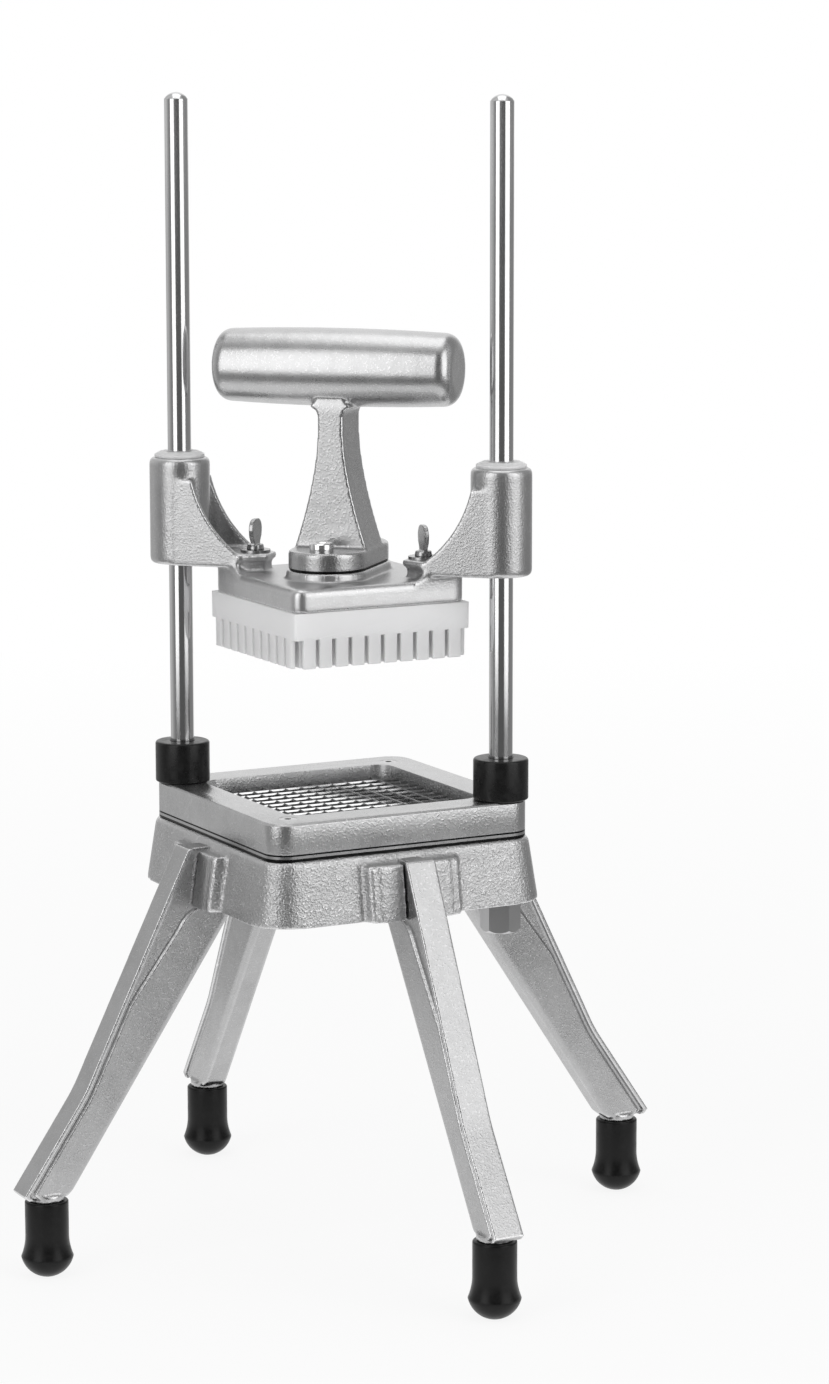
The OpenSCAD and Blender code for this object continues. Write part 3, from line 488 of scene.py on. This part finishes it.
def freeze(made: bpy.types.Object) -> bpy.types.Object:
    """Turns an object's modifiers into its mesh.

    Args:
        made: the object.

    Returns:
        The same object, with smooth faces.
    """
    bpy.context.view_layer.update()
    graph = bpy.context.evaluated_depsgraph_get()
    mesh = bpy.data.meshes.new_from_object(made.evaluated_get(graph))
    made.modifiers.clear()
    old = made.data
    made.data = mesh
    bpy.data.meshes.remove(old)
    mesh.name = made.name
    smooth_faces(mesh)
    return made


def keep_sharp(made: bpy.types.Object, least_deg: float) -> bpy.types.Object:
    """Shades the edges between faces that meet at a larger angle as sharp."""
    made.data.set_sharp_from_angle(angle=math.radians(least_deg))
    return made


def cast_skin(node: str, name: str, skin: Skin) -> bpy.types.Object:
    """Gives a CAD node the rounded edges and fillets of a casting.

    Args:
        node: the CAD node.
        name: the new piece's name.
        skin: how soft its edges are.

    Returns:
        The new piece.
    """
    made = piece_from(cad_copy(node), name)
    remesh = made.modifiers.new("skin", "REMESH")
    remesh.mode = "VOXEL"
    remesh.voxel_size = skin.voxel_mm * MM
    smooth = made.modifiers.new("round", "SMOOTH")
    smooth.factor = 0.5
    smooth.iterations = skin.rounds
    return freeze(made)


def edged(node: str, name: str, edge: Edge) -> bpy.types.Object:
    """Gives a CAD node small round edges.

    Args:
        node: the CAD node.
        name: the new piece's name.
        edge: the round along its edges.

    Returns:
        The new piece.
    """
    shape = cad_copy(node)
    bmesh.ops.dissolve_limit(shape, angle_limit=math.radians(1), verts=shape.verts, edges=shape.edges)
    made = piece_from(shape, name)
    bevel = made.modifiers.new("edge", "BEVEL")
    bevel.width = edge.width_mm * MM
    bevel.segments = edge.segments
    bevel.limit_method = "ANGLE"
    bevel.angle_limit = math.radians(edge.least_deg)
    return keep_sharp(freeze(made), 35)


def lathe(name: str, profile: Pairs, at: Vector) -> bpy.types.Object:
    """Spins a profile about a vertical axis.

    Args:
        name: the piece's name.
        profile: pairs of radius and height in millimetres, from the bottom round to the top.
        at: the foot of the axis.

    Returns:
        The turned piece.
    """
    shape = bmesh.new()
    line = [shape.verts.new((r * MM, 0, z * MM)) for r, z in profile]
    edges = [shape.edges.new(pair) for pair in zip(line, line[1:])]
    bmesh.ops.spin(shape, geom=line + edges, cent=(0, 0, 0), axis=(0, 0, 1),
                   angle=math.tau, steps=LATHE_STEPS, use_merge=True)
    bmesh.ops.remove_doubles(shape, verts=shape.verts, dist=LATHE_MERGE_M)
    bmesh.ops.recalc_face_normals(shape, faces=shape.faces)
    bmesh.ops.translate(shape, verts=shape.verts, vec=at)
    return keep_sharp(piece_from(shape, name), 40)


def arc(cx: float, cz: float, r: float, start: float, end: float,
        steps: int = 6) -> list[tuple[float, float]]:
    """Returns the points of an arc, angles in degrees."""
    turns = [math.radians(start + (end - start) * i / steps) for i in range(steps + 1)]
    return [(cx + r * math.cos(a), cz + r * math.sin(a)) for a in turns]


def loose_parts(shape: bmesh.types.BMesh) -> list[set[bmesh.types.BMVert]]:
    """Finds the separate parts of a bmesh.

    Args:
        shape: the bmesh.

    Returns:
        The vertices of each part.
    """
    parts, left = [], set(shape.verts)
    while left:
        part, ends = set(), [next(iter(left))]
        while ends:
            vert = ends.pop()
            if vert not in part:
                part.add(vert)
                ends.extend(edge.other_vert(vert) for edge in vert.link_edges)
        left -= part
        parts.append(part)
    return parts


@dataclass
class SubAssembly:
    """Base of the sub-assemblies: dresses pieces and CAD nodes with a material."""

    made: list[str] = field(default_factory=list)

    @staticmethod
    def dress(piece: bpy.types.Object, material: bpy.types.Material) -> None:
        """Gives an object one material."""
        piece.data.materials.clear()
        piece.data.materials.append(material)

    def stand_in(self, piece: bpy.types.Object, node: str, material: bpy.types.Material) -> None:
        """Puts a new piece in a CAD node's place.

        Args:
            piece: the new piece.
            node: the CAD node that it stands for.
            material: its material.
        """
        self.dress(piece, material)
        body = frame["nodes"][node]["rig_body"]
        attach(piece, body)
        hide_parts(node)
        self.report(piece.name, len(piece.data.polygons))

    def keep(self, nodes: Iterable[str], material: bpy.types.Material) -> None:
        """Dresses CAD nodes that stay as they are.

        Args:
            nodes: their names.
            material: their material.
        """
        for node in nodes:
            self.dress(frame["nodes"][node], material)
            self.report(node, len(frame["nodes"][node].data.polygons))

    def report(self, name: str, faces: int) -> None:
        """Logs one finished piece."""
        self.made.append(name)
        log.info("%s: %d faces", name, faces)


@dataclass
class Base(SubAssembly):
    """The base casting with its legs, feet and bolts."""

    # the base's edges get the painted highlight and its nooks the painted shade
    casting: CastFinish = CastFinish("cast_base", 0.6, 0.36, Grain.SAND, 1.0)
    casting_skin: Skin = Skin(0.85, 13)
    # the legs get a strong painted highlight on their edges and little painted shade in their nooks
    leg_metal: CastFinish = CastFinish("cast_leg", 0.5, 0.3, Grain.TUMBLED, nook_shade_strength=0.1, edge_highlight_share=0.8)
    leg_skin: Skin = Skin(0.5, 8)
    bolt: SteelFinish = SteelFinish("bolt_steel", 0.72, 0.42, depth=0.00003)
    nut: SteelFinish = SteelFinish("nut_steel", 0.62, 0.3, depth=0.00003)
    rubber: RubberFinish = RubberFinish("foot_rubber", 0.004, 0.3, 0.24)
    foot_out_mm: float = 135.8  # from the base's middle to a foot's axis
    foot_flat_mm: float = 3.2  # the radius of the flat that it stands on
    foot_edge_mm: tuple[float, float] = (10.8, 8.2)  # radius and height of its widest edge
    foot_waist: float = 2.1  # where its flare ends, in heights of that edge
    foot_top_mm: tuple[float, float] = (9.0, 32.0)  # radius and height of its top
    foot_rim_mm: float = 0.8  # the round of its upper edge
    foot_bore_mm: float = 6.1  # the radius of the hole for the leg's peg

    def foot_outline(self) -> list[tuple[float, float]]:
        """Works out a foot's side: a round bottom, a flare with a sharp edge and a straight top.

        Returns:
            Pairs of radius and height in millimetres.
        """
        flat, (edge_r, edge_z), (top_r, top_z) = self.foot_flat_mm, self.foot_edge_mm, self.foot_top_mm
        ball_z = (edge_r ** 2 + edge_z ** 2 - flat ** 2) / (2 * edge_z)
        start = -math.degrees(math.atan2(ball_z, flat))
        end = -math.degrees(math.atan2(ball_z - edge_z, edge_r))
        bottom = arc(0, ball_z, math.hypot(flat, ball_z), start, end, 16)
        waist_z, steps = edge_z * self.foot_waist, 12
        flare = [(top_r + (edge_r - top_r) * (1 - t) ** 2, edge_z + (waist_z - edge_z) * t)
                 for t in (i / steps for i in range(1, steps + 1))]
        rim = arc(top_r - self.foot_rim_mm, top_z - self.foot_rim_mm, self.foot_rim_mm, 0, 90, 4)
        return [(0, 0)] + bottom + flare + rim + [(self.foot_bore_mm, top_z)]

    def build(self) -> None:
        """Makes and dresses the casting, the legs, the feet and the bolts."""
        body = cast_skin("base_casting", "base_body", self.casting_skin)
        self.stand_in(body, "base_casting", self.casting.make())
        metal, rubber = self.leg_metal.make(), self.rubber.make()
        out = self.foot_out_mm * MM
        for side, (x, y) in SIDES.items():
            leg = cast_skin(f"leg_{side}", f"splayed_leg_{side}", self.leg_skin)
            self.stand_in(leg, f"leg_{side}", metal)
            foot = lathe(f"rubber_foot_{side}", self.foot_outline(), Vector((x * out, y * out, 0)))
            self.stand_in(foot, f"foot_{side}", rubber)
        self.keep(("leg_bolts", "leg_bolt_washers"), self.bolt.make())
        self.keep(("rod_nut_left", "rod_nut_right"), self.nut.make())


@dataclass
class BladeGrid(SubAssembly):
    """The frame on top of the base with its retainer, blades and screws."""

    # the frame and the retainer get painted shadow lines at their seams, and no painted highlight or shade at
    # edges and nooks
    frame_metal: CastFinish = CastFinish("cast_frame", 0.6, 0.3, Grain.TUMBLED, painted_light=False,
                                         seam_shadows_m=((FRAME_FOOT_M, 0.0003),))
    frame_edge: Edge = Edge(0.8, 3)
    plate_metal: CastFinish = CastFinish("retainer_metal", 0.5, 0.3, Grain.FINE, painted_light=False,
                                         seam_shadows_m=((BASE_TOP_M, 0.0009), (FRAME_FOOT_M, 0.0004)))
    blade_steel: SteelFinish = SteelFinish("blade_steel", 0.72, 0.18, (1, 1, 12))
    screw: SteelFinish = SteelFinish("screw_steel", 0.60, 0.25)
    wedge_mm: float = 0.7  # how far down a blade is ground
    tip_share: float = 0.3  # what is left of its thickness at the top

    def ground(self, node: str, name: str, across: int) -> bpy.types.Object:
        """Grinds the top edge of each blade in a set to a wedge.

        Args:
            node: the CAD node of the set.
            name: the new piece's name.
            across: the axis through the blades' thickness, 0 for X or 1 for Y.

        Returns:
            The new piece.
        """
        shape = cad_copy(node)
        top = max(v.co.z for v in shape.verts)
        bmesh.ops.bisect_plane(shape, geom=shape.verts[:] + shape.edges[:] + shape.faces[:], dist=1e-7,
                               plane_co=(0, 0, top - self.wedge_mm * MM), plane_no=(0, 0, 1))
        for blade in loose_parts(shape):
            places = [v.co[across] for v in blade]
            middle = (min(places) + max(places)) / 2
            for vert in blade:
                if vert.co.z > top - 1e-6:
                    vert.co[across] = middle + (vert.co[across] - middle) * self.tip_share
        return keep_sharp(piece_from(shape, name), 5)

    def build(self) -> None:
        """Makes and dresses the frame, the retainer, the blades and the screws."""
        ring = edged("blade_frame", "frame_ring", self.frame_edge)
        self.stand_in(ring, "blade_frame", self.frame_metal.make())
        self.keep(("blade_retainer",), self.plate_metal.make())
        steel = self.blade_steel.make()
        for way, across in (("lengthwise", 1), ("crosswise", 0)):
            blades = self.ground(f"blades_{way}", f"ground_blades_{way}", across)
            self.stand_in(blades, f"blades_{way}", steel)
        self.keep(("frame_screws",), self.screw.make())


@dataclass
class Guides(SubAssembly):
    """The two guide rods and their rubber bumpers."""

    rod: SteelFinish = SteelFinish("rod_steel", 0.70, 0.125, (1, 1, 0.02), 0.0000015)
    rubber: RubberFinish = RubberFinish("bumper_rubber", 0.006, 0.28)
    rod_half_mm: float = 70.3  # from the middle to a rod's axis
    bumper_r_mm: float = 11.5
    bore_r_mm: float = 4.98
    top_edge_mm: float = 1.1
    foot_edge_share: float = 0.6  # the lower edge's round, as a share of the upper one's
    bore_edge_mm: float = 0.8

    def bumper_outline(self, tall: float) -> list[tuple[float, float]]:
        """Works out a bumper's side, from the bore's foot round to it again.

        Args:
            tall: the bumper's height in millimetres.

        Returns:
            Pairs of radius and height in millimetres.
        """
        r, bore, edge, lip = self.bumper_r_mm, self.bore_r_mm, self.top_edge_mm, self.bore_edge_mm
        low = edge * self.foot_edge_share
        return ([(bore, 0)] + arc(r - low, low, low, -90, 0) + arc(r - edge, tall - edge, edge, 0, 90)
                + arc(bore + lip, tall - lip, lip, 90, 180) + [(bore, 0)])

    def build(self) -> None:
        """Makes and dresses the rods and the bumpers."""
        rubber = self.rubber.make()
        self.keep(("guide_rod_left", "guide_rod_right"), self.rod.make())
        for side, sign in ROD_SIDES.items():
            low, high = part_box(f"bumper_{side}")
            foot = ALONG_GRIP @ Vector((sign * self.rod_half_mm * MM, 0, low.z))
            bumper = lathe(f"rubber_bumper_{side}", self.bumper_outline((high.z - low.z) / MM), foot)
            self.stand_in(bumper, f"bumper_{side}", rubber)


@dataclass
class Head(SubAssembly):
    """The pusher head with its bushings, push block, thumb screws and washers."""

    # the head's edges get the painted highlight and its nooks a lighter painted shade
    casting: CastFinish = CastFinish("cast_head", 0.57, 0.34, Grain.TUMBLED, polished_m=PLATE_M, nook_shade_strength=0.6)
    casting_skin: Skin = Skin(0.7, 10)
    block: PlasticFinish = PlasticFinish("block_plastic", 0.79, 0.45)
    block_edge: Edge = Edge(0.3, 2, 40)
    bushing: PlasticFinish = PlasticFinish("bushing_plastic", 0.78, 0.4)
    plated: ThumbScrewFinish = ThumbScrewFinish("plated_steel", 0.52, 0.26, 0.8, THREAD_TOP_M)
    screw_skin: Skin = Skin(0.24, 4)

    def build(self) -> None:
        """Makes and dresses the head's pieces."""
        body = cast_skin("pusher_head", "head_body", self.casting_skin)
        self.stand_in(body, "pusher_head", self.casting.make())
        self.stand_in(edged("push_block", "toothed_block", self.block_edge), "push_block", self.block.make())
        plastic = self.bushing.make()
        for side in ROD_SIDES:
            self.keep((f"bushing_{side}_upper", f"bushing_{side}_lower"), plastic)
        plated = self.plated.make()
        for side in ROD_SIDES:
            screw = cast_skin(f"thumb_screw_{side}", f"pressed_screw_{side}", self.screw_skin)
            self.stand_in(screw, f"thumb_screw_{side}", plated)
            self.keep((f"thumb_washer_{side}",), plated)


@dataclass
class Handle(SubAssembly):
    """The cast T-handle and its two cap screws."""

    # the handle gets the painted highlight on its edges, lighter painted shade in its nooks and a painted
    # shadow line under its foot
    casting: CastFinish = CastFinish("cast_handle", 0.5, 0.3, Grain.TUMBLED, sparkle=0.6,
                                     seam_shadows_m=((HANDLE_FOOT_M, 0.0005),), polished_m=GRIP_M, nook_shade_strength=0.5)
    casting_skin: Skin = Skin(0.65, 6)
    screw: SteelFinish = SteelFinish("cap_screw_steel", 0.92, 0.15)
    screw_edge: Edge = Edge(0.2, 2, 40)

    def build(self) -> None:
        """Makes and dresses the handle and its screws."""
        handle = cast_skin("t_handle", "handle_casting", self.casting_skin)
        self.stand_in(handle, "t_handle", self.casting.make())
        self.stand_in(edged("handle_bolts", "cap_screws", self.screw_edge), "handle_bolts", self.screw.make())


@dataclass(frozen=True)
class SoftBox:
    """A large lamp that stands beside the camera and faces the object's axis."""

    name: str
    turn: float  # its angle to the right of the camera, seen from the object, in degrees
    height: float  # the height of its middle
    size: tuple[float, float]  # its width and height
    level: float  # how bright its face is, where 1 is white


@dataclass
class Studio:
    """The floor, the lamps, the world and the camera."""

    # the camera: its lens and the frame's height in pixels, lengths in metres and angles in degrees
    focal_px: float = 4183.234
    frame_tall_px: int = 1384
    sensor_mm: float = 36
    clip_m: tuple[float, float] = (0.05, 50)
    distance: float = 1.749912
    azimuth: float = -27.683
    elevation: float = 9.471
    roll: float = -0.065
    target: tuple[float, float, float] = (0.0, 0.0, 0.2388)
    aside: tuple[float, float] = (0.031378, -0.005677)
    # the floor: its half side, its paint's two greys, where it is seen as pure white, and how much of
    # that white is mixed in under the object, where its shadow falls
    floor_half_m: float = 12
    floor_greys: tuple[float, float] = (0.86, 0.88)
    floor_white_m: float = 1.6
    floor_glow: float = 0.88
    # the grey card: its inner and outer radius, its height over the floor and its level
    card_m: tuple[float, float] = (0.4, 12.0)
    card_rise_m: float = 0.001
    card_level: float = 0.9
    # the room: the level of its even light, the grey of its walls by the angle from the camera, and
    # the heights of a direction between which the walls go over into the ceiling
    even: float = 0.5
    walls: Pairs = (
        (-180, 1.0), (-162, 1.0), (-146, 0.56), (-118, 0.68), (-75, 0.3), (-18, 0.13), (22, 0.13),
        (80, 0.28), (110, 0.3), (146, 0.36), (162, 1.0), (180, 1.0))
    ceiling: Pairs = ((0.8, 0), (0.97, 1))
    ceiling_grey: Colour = (0.8, 0.8, 0.8)
    # the lamps: two soft boxes at a distance from the object's axis, and one lamp above
    box_distance: float = 1.15
    boxes: tuple[SoftBox, ...] = (SoftBox("right_box", 53, 0.88, (0.88, 1.66), 1.5),
                                  SoftBox("left_box", -41, 0.88, (0.72, 1.66), 1.6))
    top_at: tuple[float, float, float] = (0.15, 0.25, 2.0)
    top_size: tuple[float, float] = (1.2, 1.2)
    top_level: float = 0.9
    top_aim: tuple[float, float, float] = (0, 0, 0.25)

    def camera(self) -> None:
        """Places the camera where the photograph was taken from."""
        a, e = math.radians(self.azimuth), math.radians(self.elevation)
        back = Vector((math.sin(a) * math.cos(e), -math.cos(a) * math.cos(e), math.sin(e)))
        right = Vector((math.cos(a), math.sin(a), 0))
        up = back.cross(right)
        spin = Matrix.Rotation(math.radians(self.roll), 3, back)
        centre = Vector(self.target) + back * self.distance + right * self.aside[0] + up * self.aside[1]
        lens = bpy.data.cameras.new("view")
        lens.sensor_fit = "AUTO"
        lens.sensor_width = self.sensor_mm
        lens.lens = self.focal_px / self.frame_tall_px * self.sensor_mm
        lens.clip_start, lens.clip_end = self.clip_m
        made = bpy.data.objects.new("view", lens)
        axes = Matrix((spin @ right, spin @ up, back)).transposed()
        made.matrix_world = Matrix.Translation(centre) @ axes.to_4x4()
        bpy.context.scene.collection.objects.link(made)
        bpy.context.scene.camera = made

    @staticmethod
    def lamp(name: str, at: Sequence[float], size: Sequence[float], level: float,
             aim: Sequence[float]) -> None:
        """Adds one large soft lamp.

        Args:
            name: its name.
            at: its place.
            size: its width and height.
            level: how bright its face is, where 1 is white.
            aim: the point that it faces.
        """
        light = bpy.data.lights.new(name, "AREA")
        light.shape = "RECTANGLE"
        light.size, light.size_y = size
        light.energy = level * math.pi * size[0] * size[1]
        made = bpy.data.objects.new(name, light)
        made.location = at
        made.rotation_euler = (Vector(at) - Vector(aim)).to_track_quat("Z", "Y").to_euler()
        bpy.context.scene.collection.objects.link(made)

    def soft_box(self, box: SoftBox) -> None:
        """Adds a soft box at its angle from the camera.

        Args:
            box: the soft box.
        """
        a = math.radians(self.azimuth + box.turn)
        at = (math.sin(a) * self.box_distance, -math.cos(a) * self.box_distance, box.height)
        self.lamp(box.name, at, box.size, box.level, (0, 0, box.height))

    def floor(self) -> None:
        """Makes the pale floor, white where it is seen, with the object's shadow kept near it."""
        shape = bmesh.new()
        bmesh.ops.create_grid(shape, x_segments=1, y_segments=1, size=self.floor_half_m)
        made = piece_from(shape, "floor")
        paint, g = new_material("floor_paint")
        light, lighter = self.floor_greys
        tone = g.blend(g.noise(g.place(), 3, 2, 0.5), grey(light), grey(lighter))
        far = g.node("ShaderNodeVectorMath", {"operation": "LENGTH"}, {0: g.place()}, "Value")
        glow = g.ramp(far * (1 / self.floor_white_m), [(0.15, self.floor_glow), (1.0, 1.0)])
        painted = g.node("ShaderNodeBsdfDiffuse", {}, {"Color": tone})
        white = g.node("ShaderNodeEmission", {}, {"Color": WHITE, "Strength": 1.0})
        both = g.node("ShaderNodeMixShader", {}, {0: g.seen() * glow, 1: painted, 2: white})
        g.node("ShaderNodeOutputMaterial", {}, {"Surface": both})
        made.data.materials.append(paint)

    def wall_grey(self, g: Graph, way: Wire) -> Wire:
        """Works out the grey of the room in a direction, by its angle from the camera.

        Args:
            g: the graph that the nodes go into.
            way: the direction.

        Returns:
            The grey.
        """
        a = math.radians(self.azimuth)
        ahead = g.along(way, (math.sin(a), -math.cos(a), 0))
        aside = g.along(way, (math.cos(a), math.sin(a), 0))
        angle = g.node("ShaderNodeMath", {"operation": "ARCTAN2"}, {0: aside, 1: ahead})
        return g.ramp(angle * (0.5 / math.pi) + 0.5, [(0.5 + turn / 360, tone) for turn, tone in self.walls])

    def card(self) -> None:
        """Lays a grey card round the object that only gloss sees, so that metal gets darker parts."""
        inner, outer = self.card_m
        shape = bmesh.new()
        bmesh.ops.create_circle(shape, cap_ends=False, radius=inner, segments=64)
        rim = bmesh.ops.extrude_edge_only(shape, edges=shape.edges)["geom"]
        rim_verts = [part for part in rim if isinstance(part, bmesh.types.BMVert)]
        bmesh.ops.scale(shape, vec=(outer / inner, outer / inner, 1), verts=rim_verts)
        bmesh.ops.translate(shape, vec=(0, 0, self.card_rise_m), verts=shape.verts)
        made = piece_from(shape, "card")
        made.visible_camera = made.visible_diffuse = made.visible_shadow = False
        paint, g = new_material("card_grey")
        wall = self.wall_grey(g, g.place())
        glow = g.node("ShaderNodeEmission", {}, {"Color": wall, "Strength": self.card_level})
        g.node("ShaderNodeOutputMaterial", {}, {"Surface": glow})
        made.data.materials.append(paint)

    def world(self) -> None:
        """Lights the object evenly, with white behind it and a greyer room on the camera's side."""
        room = bpy.data.worlds.new("room")
        bpy.context.scene.world = room
        room.use_nodes = True
        g = Graph(room.node_tree)
        way = g.node("ShaderNodeTexCoord", {}, {}, "Generated")
        above = g.ramp(g.height(way), self.ceiling)
        around = g.blend(above, self.wall_grey(g, way), self.ceiling_grey)
        even = g.node("ShaderNodeBackground", {}, {"Color": WHITE, "Strength": self.even})
        white = g.node("ShaderNodeBackground", {}, {"Color": WHITE, "Strength": 1.0})
        reflected = g.node("ShaderNodeBackground", {}, {"Color": around, "Strength": 1.0})
        direct = g.node("ShaderNodeMixShader", {}, {0: g.ray("Camera"), 1: reflected, 2: white})
        both = g.node("ShaderNodeMixShader", {}, {0: g.seen(), 1: even, 2: direct})
        g.node("ShaderNodeOutputWorld", {}, {"Surface": both})

    def build(self) -> None:
        """Sets up the whole studio."""
        self.camera()
        self.floor()
        self.world()
        self.card()
        for box in self.boxes:
            self.soft_box(box)
        self.lamp("top", self.top_at, self.top_size, self.top_level, self.top_aim)
        bpy.context.scene.view_settings.view_transform = "Standard"


def main() -> None:
    """Builds the sub-assemblies in order."""
    logging.basicConfig(level=logging.INFO, format="%(name)s %(message)s")
    Studio().build()
    for part in (Base(), BladeGrid(), Guides(), Head(), Handle()):
        part.build()
        log.info("%s: %d pieces", type(part).__name__, len(part.made))


if __name__ == "__main__":
    main()
